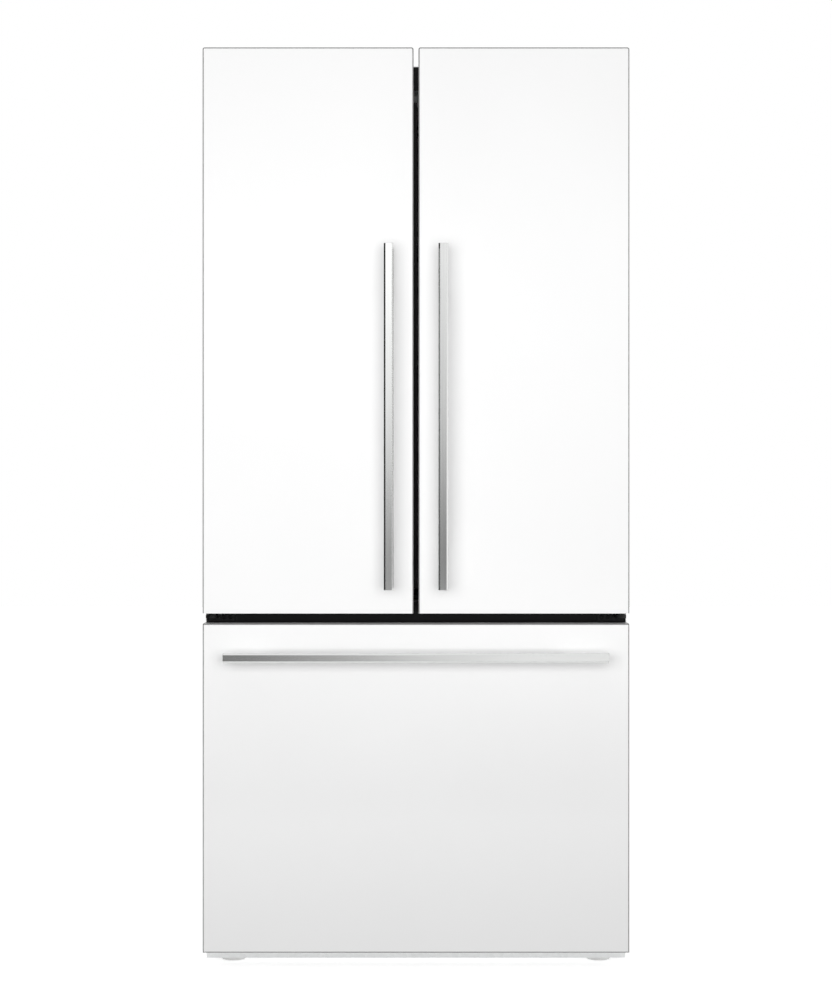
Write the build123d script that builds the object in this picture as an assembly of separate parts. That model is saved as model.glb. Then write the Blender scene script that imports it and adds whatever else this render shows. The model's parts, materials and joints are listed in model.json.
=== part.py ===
"""French door refrigerator: two swinging fresh-food doors over one freezer drawer.

The front faces -Y, +X is to the right seen from the front, and the floor is z = 0. The origin is
the centre of the footprint, handles included. All sizes are in millimetres. Every sub-part has its
own function, and main() writes each one to parts/NAME.step.
"""

from build123d import *
import math
import os

# ---- driving dimensions ----
WIDTH = 790.0
DEPTH = 695.0
FLOOR_GAP = 30.0
DRAWER_HEIGHT = 609.0
MIDDLE_GAP = 19.0
DOOR_HEIGHT = 1048.0
DOOR_RISE = 24.0
DOOR_GAP = 9.2
DOOR_THICKNESS = 46.0
SEAL_THICKNESS = 14.0
HANDLE_REACH = 50.0

# ---- stock thicknesses and clearances ----
SKIN = 1.2
CABINET_SHEET = 1.5
LINER = 3.0
DOOR_LINER = 2.5
FRAME_SHEET = 2.0
CLEAR = 0.3
BEARING_CLEAR = 0.05

# ---- places that follow from them ----
HALF = WIDTH / 2
Y_HANDLE = -DEPTH / 2
Y_FRONT = Y_HANDLE + HANDLE_REACH
Y_DOOR_BACK = Y_FRONT + DOOR_THICKNESS
Y_CABINET = Y_DOOR_BACK + SEAL_THICKNESS
Y_BACK = DEPTH / 2
Z_DRAWER = FLOOR_GAP
Z_DRAWER_TOP = Z_DRAWER + DRAWER_HEIGHT
Z_DOOR = Z_DRAWER_TOP + MIDDLE_GAP
Z_DOOR_TOP = Z_DOOR + DOOR_HEIGHT
Z_TOP = Z_DOOR_TOP - DOOR_RISE
Z_MIDDLE = (Z_DRAWER_TOP + Z_DOOR) / 2
INSIDE = HALF - CABINET_SHEET
Y_FOLD = Y_CABINET + FRAME_SHEET

# ---- cabinet ----
Z_SIDE_FOOT = 42.0
Z_DECK = 64.0
Z_REAR_DECK = 44.0
Y_BAY = 178.0
Z_BAY_TOP = 290.0
FOLD = 12.0
WINDOW_RADIUS = 10.0

# ---- fresh-food compartment: half width, depth and heights of its inner faces ----
FRIDGE_HALF = 345.0
FRIDGE_BACK = 289.0
FRIDGE_FLOOR = 678.0
FRIDGE_CEILING = 1637.0
SHELF_TOPS = (914.0, 1140.0, 1380.0)
SHELF_FRONT = -118.0
SHELF_BACK = 270.0
SHELF_THICKNESS = 14.0
GLASS = 5.0

# ---- freezer compartment ----
FREEZER_HALF = 335.0
FREEZER_FLOOR = 100.0
FREEZER_CEILING = 618.0
FREEZER_BACK = 222.0
STEP_FRONT = 130.0
STEP_TOP = 327.0

# ---- doors ----
HINGE_X = HALF - 13.5
HINGE_Y = -262.0
PIN_RADIUS = 5.0
CAP_LIP = 4.0
CAP_DEPTH = 18.0
EDGE_RADIUS = 3.0
POCKET_X = HALF - 47.0
POCKET_Y = Y_FRONT + 6.5
POCKET_FLOOR = Z_TOP - 2.0
BEARING_X = 330.0
SEAL_WIDTH = 18.0
RIDGE_WIDTH = 20.0
RIDGE_REACH = 45.5
RIDGE_X = (-336.0, -46.0)
RIDGE_Z = (694.0, 1622.0)
BIN_BOTTOMS = (716.0, 1012.0, 1308.0)
BIN_HEIGHT = 100.0
BIN_REACH = 105.0
BIN_WALL = 2.5

# ---- folding centre flap, on the left door ----
FLAP_AXIS = (-37.0, -231.5)
FLAP_THICKNESS = 12.0
FLAP_EDGE = 2.0
FLAP_Z = (702.0, 1614.0)
FLAP_PIN = 3.0
FLAP_ARM = 6.6

# ---- handles ----
BAR_WIDTH = 18.0
BAR_DEPTH = 14.0
BAR_BEVEL = 3.0
POST_WIDTH = 12.0
POST_LENGTH = 105.0
POST_TAPER = 26.0
DOOR_HANDLE_X = 50.0
DOOR_HANDLE_Z = (703.0, 1338.0)
DRAWER_HANDLE_HALF = 353.5
DRAWER_HANDLE_Z = Z_DRAWER_TOP - 60.3

# ---- freezer drawer ----
DRAWER_RIDGE_X = 318.0
DRAWER_RIDGE_Z = (116.0, 604.0)
DRAWER_RIDGE_REACH = 29.5
SLIDE_Z = (326.0, 364.0)
SLIDE_Y = (-215.0, 118.0)
SLIDE_SHEET = 1.5
ARM_X = 321.5
ARM_SHEET = 2.0
ARM_Z = (300.0, 416.0)
BASKET_HALF = 312.0
BASKET_Y = (-218.0, 112.0)
BASKET_Z = (112.0, 420.0)
TRAY_HALF = 300.0
TRAY_Y = (-55.0, 105.0)
TRAY_TOP = 520.0

# ---- machinery, feet and rollers ----
FOOT_X = 345.0
FOOT_Y = -200.0
FOOT_RADIUS = 22.0
FOOT_PAD = 10.0
STEM_RADIUS = 5.0
ROLLER_X = 340.0
ROLLER_Y = 290.0
ROLLER_RADIUS = 20.0
ROLLER_WIDTH = 24.0
ROLLER_PIN = 4.0
DRAIN_PAN_Z = (Z_REAR_DECK + CABINET_SHEET, 70.0)
CONDENSER_FAN_X = -32.0
CONDENSER_FAN_Y = 262.0
CONDENSER_FAN_Z = 165.0
CONDENSER_FAN_RADIUS = 52.0
EVAPORATOR_FAN_Z = 560.0
EVAPORATOR_FAN_RADIUS = 36.0
FAN_PIN = 3.0
GLAND_X = 350.0
GLAND_Z = 74.0
GLAND_RADIUS = 9.0
GLAND_BORE = 4.2


# ---- shape helpers ----
def block(x, y, z):
    """A box between two corners, given as three (low, high) pairs."""
    size = [high - low for low, high in (x, y, z)]
    middle = [(high + low) / 2 for low, high in (x, y, z)]
    return Pos(*middle) * Box(*size)


def ring(x, y, z, width):
    """A rectangular frame that faces Y, with sides of one width."""
    hole = block((x[0] + width, x[1] - width), (y[0] - 1, y[1] + 1), (z[0] + width, z[1] - width))
    return block(x, y, z) - hole


def rounded_window(half, y, z, radius):
    """A prism along Y with a rounded rectangle as its section."""
    low, high = z
    plane = Plane(origin=(0, y[0], (low + high) / 2), x_dir=(1, 0, 0), z_dir=(0, 1, 0))
    return extrude(plane * RectangleRounded(2 * half, high - low, radius), y[1] - y[0])


def rod(x, y, z, radius, axis):
    """A cylinder whose lowest point along axis is given, with z, y or x as a (low, high) pair."""
    spans = {"X": x, "Y": y, "Z": z}
    low, high = spans[axis]
    turn = {"X": Rot(0, 90, 0), "Y": Rot(90, 0, 0), "Z": Rot(0, 0, 0)}[axis]
    centre = {"X": (low, y, z), "Y": (x, low, z), "Z": (x, y, low)}[axis]
    shift = {"X": (1, 0, 0), "Y": (0, 1, 0), "Z": (0, 0, 1)}[axis]
    middle = [c + s * (high - low) / 2 for c, s in zip(centre, shift)]
    return Pos(*middle) * turn * Cylinder(radius, high - low)


def side_profile(points, x):
    """A prism along X from (y, z) corners."""
    low, high = x
    face = Plane(origin=(low, 0, 0), x_dir=(0, 1, 0), z_dir=(1, 0, 0)) * make_face(
        Polyline(*points, close=True)
    )
    return extrude(face, high - low)


def tub(x, y, z, wall, radius):
    """An open-topped container with rounded upright edges."""
    outer = block(x, y, z)
    outer = fillet(outer.edges().filter_by(Axis.Z), radius)
    inner = block(
        (x[0] + wall, x[1] - wall), (y[0] + wall, y[1] - wall), (z[0] + wall, z[1] + 1)
    )
    inner = fillet(inner.edges().filter_by(Axis.Z), radius - wall)
    return outer - inner


def both_sides(shape):
    """A shape on the left and its mirror image on the right, as two solids."""
    return Compound([*shape.solids(), *mirror(shape, about=Plane.YZ).solids()])


def front_edges(shape, axis):
    """The outermost front edges of a shape that run along one axis."""
    return shape.edges().filter_by(axis).group_by(Axis.Y)[0]


# ---- cabinet shell ----
def left_side_panel():
    plate = block((-HALF, -INSIDE), (Y_CABINET, Y_BACK), (Z_SIDE_FOOT, Z_TOP))
    fold_x = (-INSIDE - 0.5, -INSIDE + FOLD)
    fold_z = (Z_DECK + CABINET_SHEET, Z_TOP - CABINET_SHEET)
    fold = block(fold_x, (Y_FOLD, Y_FOLD + CABINET_SHEET), fold_z)
    corner = plate.edges().filter_by(Axis.Z).sort_by_distance((-HALF, Y_CABINET, Z_MIDDLE))[0]
    return fillet(corner, 1.0) + fold


def top_panel():
    plate = block((-INSIDE, INSIDE), (Y_CABINET, Y_BACK), (Z_TOP - CABINET_SHEET, Z_TOP))
    fold_z = (Z_TOP - CABINET_SHEET - FOLD, Z_TOP - CABINET_SHEET + 0.5)
    fold_x = (-INSIDE + FOLD, INSIDE - FOLD)
    corner = plate.edges().filter_by(Axis.X).sort_by_distance((0, Y_CABINET, Z_TOP))[0]
    return fillet(corner, 1.0) + block(fold_x, (Y_FOLD, Y_FOLD + CABINET_SHEET), fold_z)


def back_panel():
    z = (Z_BAY_TOP + CABINET_SHEET, Z_TOP - CABINET_SHEET)
    plate = block((-INSIDE, INSIDE), (Y_BACK - CABINET_SHEET, Y_BACK), z)
    for low in (430, 770, 1110, 1450):
        rib = block((-300, 300), (Y_BACK - 0.7, Y_BACK + 1), (low, low + 14))
        plate -= fillet(rib.edges().filter_by(Axis.Y), 6.0)
    return plate


def base_pan():
    """Raised deck, toe flange, machine deck, foot bosses and roller forks, as one welded pan."""
    sheet = CABINET_SHEET
    toe = block((-INSIDE, INSIDE), (Y_FOLD, Y_FOLD + sheet), (8, Z_DECK + sheet))
    deck = block((-INSIDE, INSIDE), (Y_FOLD, Y_BAY), (Z_DECK, Z_DECK + sheet))
    riser = block((-INSIDE, INSIDE), (Y_BAY - sheet, Y_BAY), (Z_REAR_DECK, Z_DECK + sheet))
    rear = block((-INSIDE, INSIDE), (Y_BAY - sheet, 341), (Z_REAR_DECK, Z_REAR_DECK + sheet))
    pan = toe + deck + riser + rear
    for side in (-1, 1):
        boss = rod(side * FOOT_X, FOOT_Y, (44, Z_DECK + 0.5), 12, "Z")
        bore = rod(side * FOOT_X, FOOT_Y, (40, Z_DECK), STEM_RADIUS + BEARING_CLEAR, "Z")
        pan = pan + boss - bore
        pin_x = (side * ROLLER_X - 16, side * ROLLER_X + 16)
        pan += rod(pin_x, ROLLER_Y, ROLLER_RADIUS, ROLLER_PIN, "X")
        for cheek in (-1, 1):
            x = side * ROLLER_X + cheek * 14.25
            plate = block((x - 1.25, x + 1.25), (ROLLER_Y - 14, ROLLER_Y + 14), (9, Z_REAR_DECK + 0.5))
            pan += plate
    return pan


def face_frame():
    """Black trim on the cabinet's front edge, with one window for each compartment."""
    plate = block((-INSIDE, INSIDE), (Y_CABINET, Y_FOLD), (Z_REAR_DECK, Z_TOP - CABINET_SHEET))
    cut = (Y_CABINET - 1, Y_FOLD + 1)
    upper = rounded_window(FRIDGE_HALF, cut, (FRIDGE_FLOOR, FRIDGE_CEILING), WINDOW_RADIUS)
    lower = rounded_window(FREEZER_HALF, cut, (FREEZER_FLOOR, FREEZER_CEILING), WINDOW_RADIUS)
    return plate - upper - lower


def fridge_cavity(wall):
    z = (FRIDGE_FLOOR - wall, FRIDGE_CEILING + wall)
    return rounded_window(FRIDGE_HALF + wall, (Y_FOLD, FRIDGE_BACK + wall), z, WINDOW_RADIUS + wall)


def freezer_cavity(wall):
    z = (FREEZER_FLOOR - wall, FREEZER_CEILING + wall)
    whole = rounded_window(
        FREEZER_HALF + wall, (Y_FOLD, FREEZER_BACK + wall), z, WINDOW_RADIUS + wall
    )
    step = block((-HALF, HALF), (STEP_FRONT + wall, Y_BACK), (0, STEP_TOP - wall))
    return whole - step


def cabinet_foam():
    """The foamed insulation: one block around both compartments and over the machine bay."""
    z = (Z_DECK + CABINET_SHEET, Z_TOP - CABINET_SHEET)
    foam = block((-INSIDE, INSIDE), (Y_FOLD, Y_BACK - CABINET_SHEET), z)
    foam -= block((-HALF, HALF), (Y_BAY, Y_BACK), (0, Z_BAY_TOP))
    foam -= fridge_cavity(LINER)
    foam -= freezer_cavity(LINER)
    fold_y = (Y_FOLD, Y_FOLD + CABINET_SHEET)
    for side in (-1, 1):
        x = sorted((side * HALF, side * (INSIDE - FOLD)))
        foam -= block(x, fold_y, (0, Z_DOOR_TOP))
    foam -= block((-HALF, HALF), fold_y, (Z_TOP - CABINET_SHEET - FOLD, Z_DOOR_TOP))
    return foam


def fridge_liner():
    """Moulded inner liner, with a ledge on each side under every shelf."""
    liner = fridge_cavity(LINER) - fridge_cavity(0)
    for top in SHELF_TOPS:
        z = (top - SHELF_THICKNESS - 8, top - SHELF_THICKNESS)
        for side in (-1, 1):
            x = sorted((side * (FRIDGE_HALF + 1), side * (FRIDGE_HALF - 10)))
            liner += block(x, (SHELF_FRONT + 10, SHELF_BACK), z)
    return liner


def freezer_liner():
    return freezer_cavity(LINER) - freezer_cavity(0)


def left_top_hinge():
    """Plate screwed to the cabinet's top, with the pin that the door hangs on."""
    z = (Z_TOP, Z_TOP + 4)
    arm = block((-HALF + 6, -HINGE_X + 12), (HINGE_Y, -160), z)
    nose = rod(-HINGE_X, HINGE_Y, z, 12, "Z")
    plate = block((-HALF + 6, -HALF + 60), (-222, -160), z)
    pin = rod(-HINGE_X, HINGE_Y, (Z_TOP - 15, Z_TOP + 4), PIN_RADIUS, "Z")
    return arm + nose + plate + pin


def left_centre_hinge():
    """Bracket in the gap under the door: its arm carries the lower pin."""
    z = (Z_MIDDLE - 0.5, Z_MIDDLE + 4.5)
    wall = block((-HALF + 6, -HALF + 54), (Y_CABINET - 3, Y_CABINET), (Z_MIDDLE - 7.5, Z_MIDDLE + 7.5))
    arm = block((-HINGE_X - 11, -HINGE_X + 11), (HINGE_Y, Y_CABINET - 1), z)
    nose = rod(-HINGE_X, HINGE_Y, z, 11, "Z")
    washer = rod(-HINGE_X, HINGE_Y, (z[1], Z_DOOR - CLEAR), 8, "Z")
    pin = rod(-HINGE_X, HINGE_Y, (z[1], Z_DOOR + 13), PIN_RADIUS, "Z")
    return wall + arm + nose + washer + pin


def left_hinge_cover():
    """Moulded cap over the top hinge's screws, open underneath."""
    outer = block((-HALF + 3, -HALF + 64), (-234, -150), (Z_TOP, Z_TOP + 20))
    outer = fillet(outer.edges().group_by(Axis.Z)[-1], 4.0)
    inner = block((-HALF + 5, -HALF + 62), (-232, -152), (Z_TOP - 1, Z_TOP + 18))
    slot = block((-HALF + 5.5, -HINGE_X + 13), (-240, -230), (Z_TOP - 1, Z_TOP + 6))
    return outer - inner - slot


# ---- fresh-food compartment ----
def shelf_pane(top):
    z = (top - 10, top - 10 + GLASS)
    return block((-FRIDGE_HALF + 14, FRIDGE_HALF - 14), (SHELF_FRONT + 12, SHELF_BACK - 12), z)


def shelf_trim(top):
    """Moulded rim round one pane, with a lip under the glass."""
    x = (-FRIDGE_HALF + 2, FRIDGE_HALF - 2)
    y = (SHELF_FRONT, SHELF_BACK)
    rim = block(x, y, (top - SHELF_THICKNESS, top))
    rim = fillet(front_edges(rim, Axis.X), 4.0)
    pocket = block(
        (x[0] + 12, x[1] - 12), (y[0] + 12, y[1] - 12), (top - 10, top + 1)
    )
    light = block(
        (x[0] + 18, x[1] - 18), (y[0] + 18, y[1] - 18), (top - SHELF_THICKNESS - 1, top)
    )
    return rim - pocket - light


def left_crisper():
    x = (-FRIDGE_HALF + 8, -4)
    z = (FRIDGE_FLOOR + 5, SHELF_TOPS[0] - SHELF_THICKNESS - 10)
    body = tub(x, (SHELF_FRONT + 8, 262), z, LINER, 14.0)
    lip = block((x[0] + 30, x[1] - 30), (SHELF_FRONT - 4, SHELF_FRONT + 9), (z[1] - 14, z[1]))
    lip = fillet(front_edges(lip, Axis.X), 4.0)
    return body + lip


def air_duct():
    """Cold-air tower on the rear wall, with paired vents."""
    duct = block((-150, 150), (SHELF_BACK + 5, FRIDGE_BACK), (930, 1590))
    duct = fillet(front_edges(duct, Axis.Z), 6.0)
    for z in (990, 1210, 1290, 1450, 1530):
        for x in (-95, 95):
            duct -= block((x - 32, x + 32), (SHELF_BACK, SHELF_BACK + 12), (z - 4, z + 4))
    return duct


def control_panel():
    """Ceiling console, with a pocket for each button."""
    x = (-120, 120)
    y = (-185, -55)
    console = block(x, y, (FRIDGE_CEILING - 27, FRIDGE_CEILING))
    console = fillet(front_edges(console, Axis.X).sort_by(Axis.Z)[0], 8.0)
    console = fillet(console.edges().filter_by(Axis.Z).group_by(Axis.Y)[0], 6.0)
    for x in (-34, 34):
        console -= block((x - 9.3, x + 9.3), (-190, -175), (1619.7, 1630.3))
    return console


def button(x):
    cap = block((x - 9, x + 9), (-187, -178), (1620, 1630))
    return fillet(front_edges(cap, Axis.Z), 1.0)


def lamp_lens():
    lens = block((-90, 90), (-150, -80), (FRIDGE_CEILING - 32, FRIDGE_CEILING - 27))
    return fillet(lens.edges().filter_by(Axis.Z), 10.0)


# ---- machinery ----
def compressor():
    """Welded can with domed ends on its foot plate."""
    centre = (185, 262)
    low, high = 64, 236
    can = rod(*centre, (low, high), 72, "Z")
    can = fillet(can.edges().filter_by(GeomType.CIRCLE).group_by(Axis.Z)[-1], 30.0)
    seam = rod(*centre, (150, 154), 75, "Z")
    plate = block((centre[0] - 100, centre[0] + 100), (190, 334), (61, low + 0.5))
    stub = rod(centre[0] - 20, (330, 342 - 2), 120, 4, "Y")
    return can + seam + plate + stub


def compressor_grommets():
    grommets = []
    for x in (97, 273):
        for y in (202, 322):
            foot = rod(x, y, (Z_REAR_DECK + CABINET_SHEET, 61), 9, "Z")
            grommets.append(fillet(foot.edges().group_by(Axis.Z)[-1], 2.0))
    return Compound([solid for foot in grommets for solid in foot.solids()])


def condenser():
    """Serpentine tube through two end plates."""
    runs = 8
    pitch = 19.0
    left, right = -340.0, -90.0
    z0 = 88.0
    points = []
    for i in range(runs):
        z = z0 + i * pitch
        ends = (left, right) if i % 2 == 0 else (right, left)
        points += [(ends[0], 262, z), (ends[1], 262, z)]
    path = FilletPolyline(*points, radius=pitch / 2 - 0.6)
    tube = sweep(Plane(origin=points[0], z_dir=(1, 0, 0)) * Circle(3.2), path=path)
    for x in (left + 22, right - 22):
        tube += block((x - 1, x + 1), (222, 302), (DRAIN_PAN_Z[0] + 2, z0 + runs * pitch - 8))
    return tube


def drain_pan():
    return tub((-350, -70), (192, 332), DRAIN_PAN_Z, 2.0, 10.0)


def condenser_fan_frame():
    """Square shroud with a four-armed motor carrier and the rotor's pin."""
    x, y, z, r = CONDENSER_FAN_X, CONDENSER_FAN_Y, CONDENSER_FAN_Z, CONDENSER_FAN_RADIUS
    plate = block((x - 4, x + 4), (y - 64, y + 64), (z - 64, z + 64))
    plate -= rod((x - 5, x + 5), y, z, r + 4, "X")
    arm_x = (x - 20, x - 14)
    for turn in (45, -45):
        arm = Pos(sum(arm_x) / 2, y, z) * Rot(turn, 0, 0) * Box(6, 126, 8)
        plate += arm
    for a in (-1, 1):
        for b in (-1, 1):
            reach = 62 * math.cos(math.radians(45))
            plate += rod((x - 20, x), y + a * reach, z + b * reach, 5, "X")
    plate += rod((x - 20, x - 9), y, z, 16, "X")
    plate += rod((x - 12, x + 9), y, z, FAN_PIN, "X")
    leg = block((x - 4, x + 4), (y - 50, y + 50), (Z_REAR_DECK + CABINET_SHEET, z - 62))
    return plate + leg


def rotor(blades, radius, hub, depth):
    """A fan rotor about Z at the origin: a bored hub with pitched blades."""
    shape = Cylinder(hub, depth)
    for i in range(blades):
        blade = Pos((radius + hub) / 2 - 1, 0, 0) * Rot(32, 0, 0) * Box(radius - hub, hub * 1.5, 1.6)
        shape += Rot(0, 0, i * 360 / blades) * blade
    shape &= Cylinder(radius, depth)
    return shape - Cylinder(FAN_PIN + BEARING_CLEAR, depth + 2)


def condenser_fan_rotor():
    turned = Rot(0, 90, 0) * rotor(7, CONDENSER_FAN_RADIUS, 15, 14)
    return Pos(CONDENSER_FAN_X, CONDENSER_FAN_Y, CONDENSER_FAN_Z) * turned


def evaporator_fan_rotor():
    turned = Rot(90, 0, 0) * rotor(5, EVAPORATOR_FAN_RADIUS, 11, 12)
    return Pos(0, 142, EVAPORATOR_FAN_Z) * turned


def compressor_cover():
    """Louvred rear cover of the machine bay, with the cord's outlet hole."""
    cover = block((-INSIDE + 1, INSIDE - 1), (342, 342 + CABINET_SHEET), (47, 289))
    for x in (-230, 0, 230):
        for i in range(9):
            z = 110 + i * 18
            cover -= block((x - 80, x + 80), (340, 345), (z - 2.5, z + 2.5))
    return cover - rod(GLAND_X, (340, 345), GLAND_Z, GLAND_RADIUS + 0.1, "Y")


def cord_gland():
    neck = rod(GLAND_X, (330, 344.5), GLAND_Z, GLAND_RADIUS, "Y")
    flange = rod(GLAND_X, (342 + CABINET_SHEET, Y_BACK - 0.5), GLAND_Z, 13, "Y")
    return neck + flange - rod(GLAND_X, (329, Y_BACK), GLAND_Z, GLAND_BORE, "Y")


def evaporator():
    """Finned cooling block: a core with fins stood on both faces, on brackets from the liner."""
    core = block((-230, 230), (163, 192), (350, 500))
    fins = core
    for x in (-205, 205):
        fins += block((x - 6, x + 6), (190, FREEZER_BACK), (410, 450))
    for i in range(24):
        x = -226 + i * 452 / 23
        fins += block((x - 0.8, x + 0.8), (148, 207), (345, 505))
    return fins


def freezer_back_cover():
    """Panel in front of the evaporator, with the fan's grille and the rotor's pin."""
    y = (STEP_FRONT, STEP_FRONT + 5)
    panel = block((-FREEZER_HALF + 3, FREEZER_HALF - 3), y, (STEP_TOP, FREEZER_CEILING - 3))
    hole = EVAPORATOR_FAN_RADIUS + 4
    panel -= rod(0, (y[0] - 1, y[1] + 1), EVAPORATOR_FAN_Z, hole, "Y")
    for turn in (0, 60, 120):
        panel += Pos(0, sum(y) / 2, EVAPORATOR_FAN_Z) * Rot(0, turn, 0) * Box(2 * hole + 4, 5, 6)
    for radius in (18, 29):
        outer = rod(0, y, EVAPORATOR_FAN_Z, radius + 1.5, "Y")
        panel += outer - rod(0, y, EVAPORATOR_FAN_Z, radius - 1.5, "Y")
    return panel + rod(0, (y[1] - 1, 150), EVAPORATOR_FAN_Z, FAN_PIN, "Y")


# ---- feet and rollers ----
def foot(side):
    x = side * FOOT_X
    pad = rod(x, FOOT_Y, (0, FOOT_PAD), FOOT_RADIUS, "Z")
    pad = fillet(pad.edges().filter_by(GeomType.CIRCLE).group_by(Axis.Z)[-1], 3.0)
    nut = extrude(Plane(origin=(x, FOOT_Y, FOOT_PAD - 0.5)) * RegularPolygon(11, 6), 8.5)
    return pad + nut + rod(x, FOOT_Y, (FOOT_PAD, Z_DECK - CLEAR), STEM_RADIUS, "Z")


def rear_rollers():
    rollers = []
    for side in (-1, 1):
        x = (side * ROLLER_X - ROLLER_WIDTH / 2, side * ROLLER_X + ROLLER_WIDTH / 2)
        wheel = rod(x, ROLLER_Y, ROLLER_RADIUS, ROLLER_RADIUS, "X")
        wheel = fillet(wheel.edges().filter_by(GeomType.CIRCLE), 2.0)
        bore = rod((x[0] - 1, x[1] + 1), ROLLER_Y, ROLLER_RADIUS, ROLLER_PIN + BEARING_CLEAR, "X")
        rollers += (wheel - bore).solids()
    return Compound(rollers)


# ---- doors ----
def door_outline(z, inset):
    """A prism with the door's plan shape, drawn in by inset on the front and both sides."""
    x = (-HALF + inset, -DOOR_GAP / 2 - inset)
    body = block(x, (Y_FRONT + inset, Y_DOOR_BACK), z)
    return fillet(front_edges(body, Axis.Z), max(EDGE_RADIUS - inset, 0.6))


def hinge_pocket():
    """The corner cut from a door's top, behind its front sheet, that the hinge arm turns in."""
    return block((-HALF - 1, -POCKET_X), (POCKET_Y, Y_DOOR_BACK + 1), (POCKET_FLOOR, Z_DOOR_TOP + 1))


def left_door_skin():
    z = (Z_DOOR + CAP_LIP, Z_DOOR_TOP - CAP_LIP)
    skin = door_outline(z, 0) - door_outline((z[0] - 1, z[1] + 1), SKIN)
    return skin - hinge_pocket()


def cap_plug(z):
    """The part of an end cap inside the skin, with the skin's inner corners."""
    x = (-HALF + SKIN, -DOOR_GAP / 2 - SKIN)
    plug = block(x, (Y_FRONT + SKIN, Y_DOOR_BACK - DOOR_LINER), z)
    return fillet(front_edges(plug, Axis.Z), EDGE_RADIUS - SKIN)


def left_door_caps():
    """Moulded end caps: the upper one holds the top pin's bearing, the lower one its mate."""
    lip = door_outline((Z_DOOR_TOP - CAP_LIP, Z_DOOR_TOP), 0)
    corners = lip.edges().filter_by(Axis.Y).group_by(Axis.Z)[-1]
    lip = fillet(corners, CAP_LIP - 0.3)
    plug = cap_plug((Z_DOOR_TOP - CAP_DEPTH, Z_DOOR_TOP - CAP_LIP + 0.5))
    hinge_end = cap_plug((POCKET_FLOOR - CAP_DEPTH, Z_DOOR_TOP - CAP_LIP))
    hinge_end &= block((-HALF, -BEARING_X), (Y_FRONT, Y_DOOR_BACK), (0, Z_DOOR_TOP))
    bore_z = (POCKET_FLOOR - CAP_DEPTH - 1, POCKET_FLOOR + 1)
    bore = rod(-HINGE_X, HINGE_Y, bore_z, PIN_RADIUS + BEARING_CLEAR, "Z")
    upper = lip + plug + hinge_end - hinge_pocket() - bore
    foot_lip = door_outline((Z_DOOR, Z_DOOR + CAP_LIP), 0)
    foot_plug = cap_plug((Z_DOOR + CAP_LIP - 0.5, Z_DOOR + CAP_DEPTH))
    foot_bore = rod(-HINGE_X, HINGE_Y, (Z_DOOR - 1, Z_DOOR + 14), PIN_RADIUS + BEARING_CLEAR, "Z")
    lower = foot_lip + foot_plug - foot_bore
    return Compound([*upper.solids(), *lower.solids()])


def ridge(x, z, reach, inset):
    """The raised frame on a door's inner face, drawn in by inset all round."""
    width = RIDGE_WIDTH - 2 * inset
    y = (Y_DOOR_BACK - DOOR_LINER, Y_DOOR_BACK + reach - inset)
    frame = ring((x[0] + inset, x[1] - inset), y, (z[0] + inset, z[1] - inset), width)
    if inset:
        return frame
    corners = frame.edges().filter_by(Axis.Y).sort_by(Axis.X)
    frame = fillet([*corners[:2], *corners[-2:]], 8.0)
    return frame


def door_liner(x, z, ridge_x, ridge_z, reach):
    plate = block(x, (Y_DOOR_BACK - DOOR_LINER, Y_DOOR_BACK), z)
    frame = plate + ridge(ridge_x, ridge_z, reach, 0)
    return frame - ridge(ridge_x, ridge_z, reach, DOOR_LINER)


def upper_door_liner():
    x = (-HALF + SKIN, -DOOR_GAP / 2 - SKIN)
    z = (Z_DOOR + CAP_LIP, Z_DOOR_TOP - CAP_LIP)
    liner = door_liner(x, z, RIDGE_X, RIDGE_Z, RIDGE_REACH)
    return liner - hinge_pocket()


def left_door_liner():
    """The common door liner, plus the two arms whose pins carry the folding flap."""
    liner = upper_door_liner()
    x, y = FLAP_AXIS
    for low, inward in ((FLAP_Z[0] - FLAP_ARM - CLEAR, 1), (FLAP_Z[1] + CLEAR, -1)):
        z = (low, low + FLAP_ARM)
        liner += block((RIDGE_X[1] - 1, x), (y - 5.5, y + 5.5), z) + rod(x, y, z, 5.5, "Z")
        middle = low + FLAP_ARM / 2
        reach = sorted((middle, middle + inward * (FLAP_ARM / 2 + CLEAR + 10)))
        liner += rod(x, y, reach, FLAP_PIN, "Z")
    return liner


def left_door_foam():
    """Slab behind the front sheet, with the raised frame's filling on its back."""
    slab = cap_plug((Z_DOOR + CAP_DEPTH, Z_DOOR_TOP - CAP_DEPTH))
    y = (Y_FRONT, Y_DOOR_BACK)
    slab -= block((-HALF, -BEARING_X), y, (POCKET_FLOOR - CAP_DEPTH, Z_DOOR_TOP))
    return slab + ridge(RIDGE_X, RIDGE_Z, RIDGE_REACH, DOOR_LINER)


def left_door_gasket():
    x = (-HINGE_X + 2, -DOOR_GAP / 2 - 3.4)
    z = (Z_DOOR + 3, Z_TOP - 20)
    seal = ring(x, (Y_DOOR_BACK, Y_CABINET - CLEAR), z, SEAL_WIDTH)
    return seal


def left_door_bins():
    bins = []
    x = (RIDGE_X[0] + RIDGE_WIDTH + CLEAR, RIDGE_X[1] - RIDGE_WIDTH - CLEAR)
    for bottom in BIN_BOTTOMS:
        y = (Y_DOOR_BACK + CLEAR, Y_DOOR_BACK + BIN_REACH)
        bins += tub(x, y, (bottom, bottom + BIN_HEIGHT), BIN_WALL, 12.0).solids()
    return Compound(bins)


def mullion_flap():
    """The strip behind the gap between the doors. It folds against the left door as that opens."""
    x, y = FLAP_AXIS
    half = FLAP_THICKNESS / 2
    flap = block((x, FLAP_EDGE), (y - half, y + half), FLAP_Z) + rod(x, y, FLAP_Z, half, "Z")
    for z in ((FLAP_Z[0] - 1, FLAP_Z[0] + 12), (FLAP_Z[1] - 12, FLAP_Z[1] + 1)):
        flap -= rod(x, y, z, FLAP_PIN + BEARING_CLEAR, "Z")
    return flap


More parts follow.
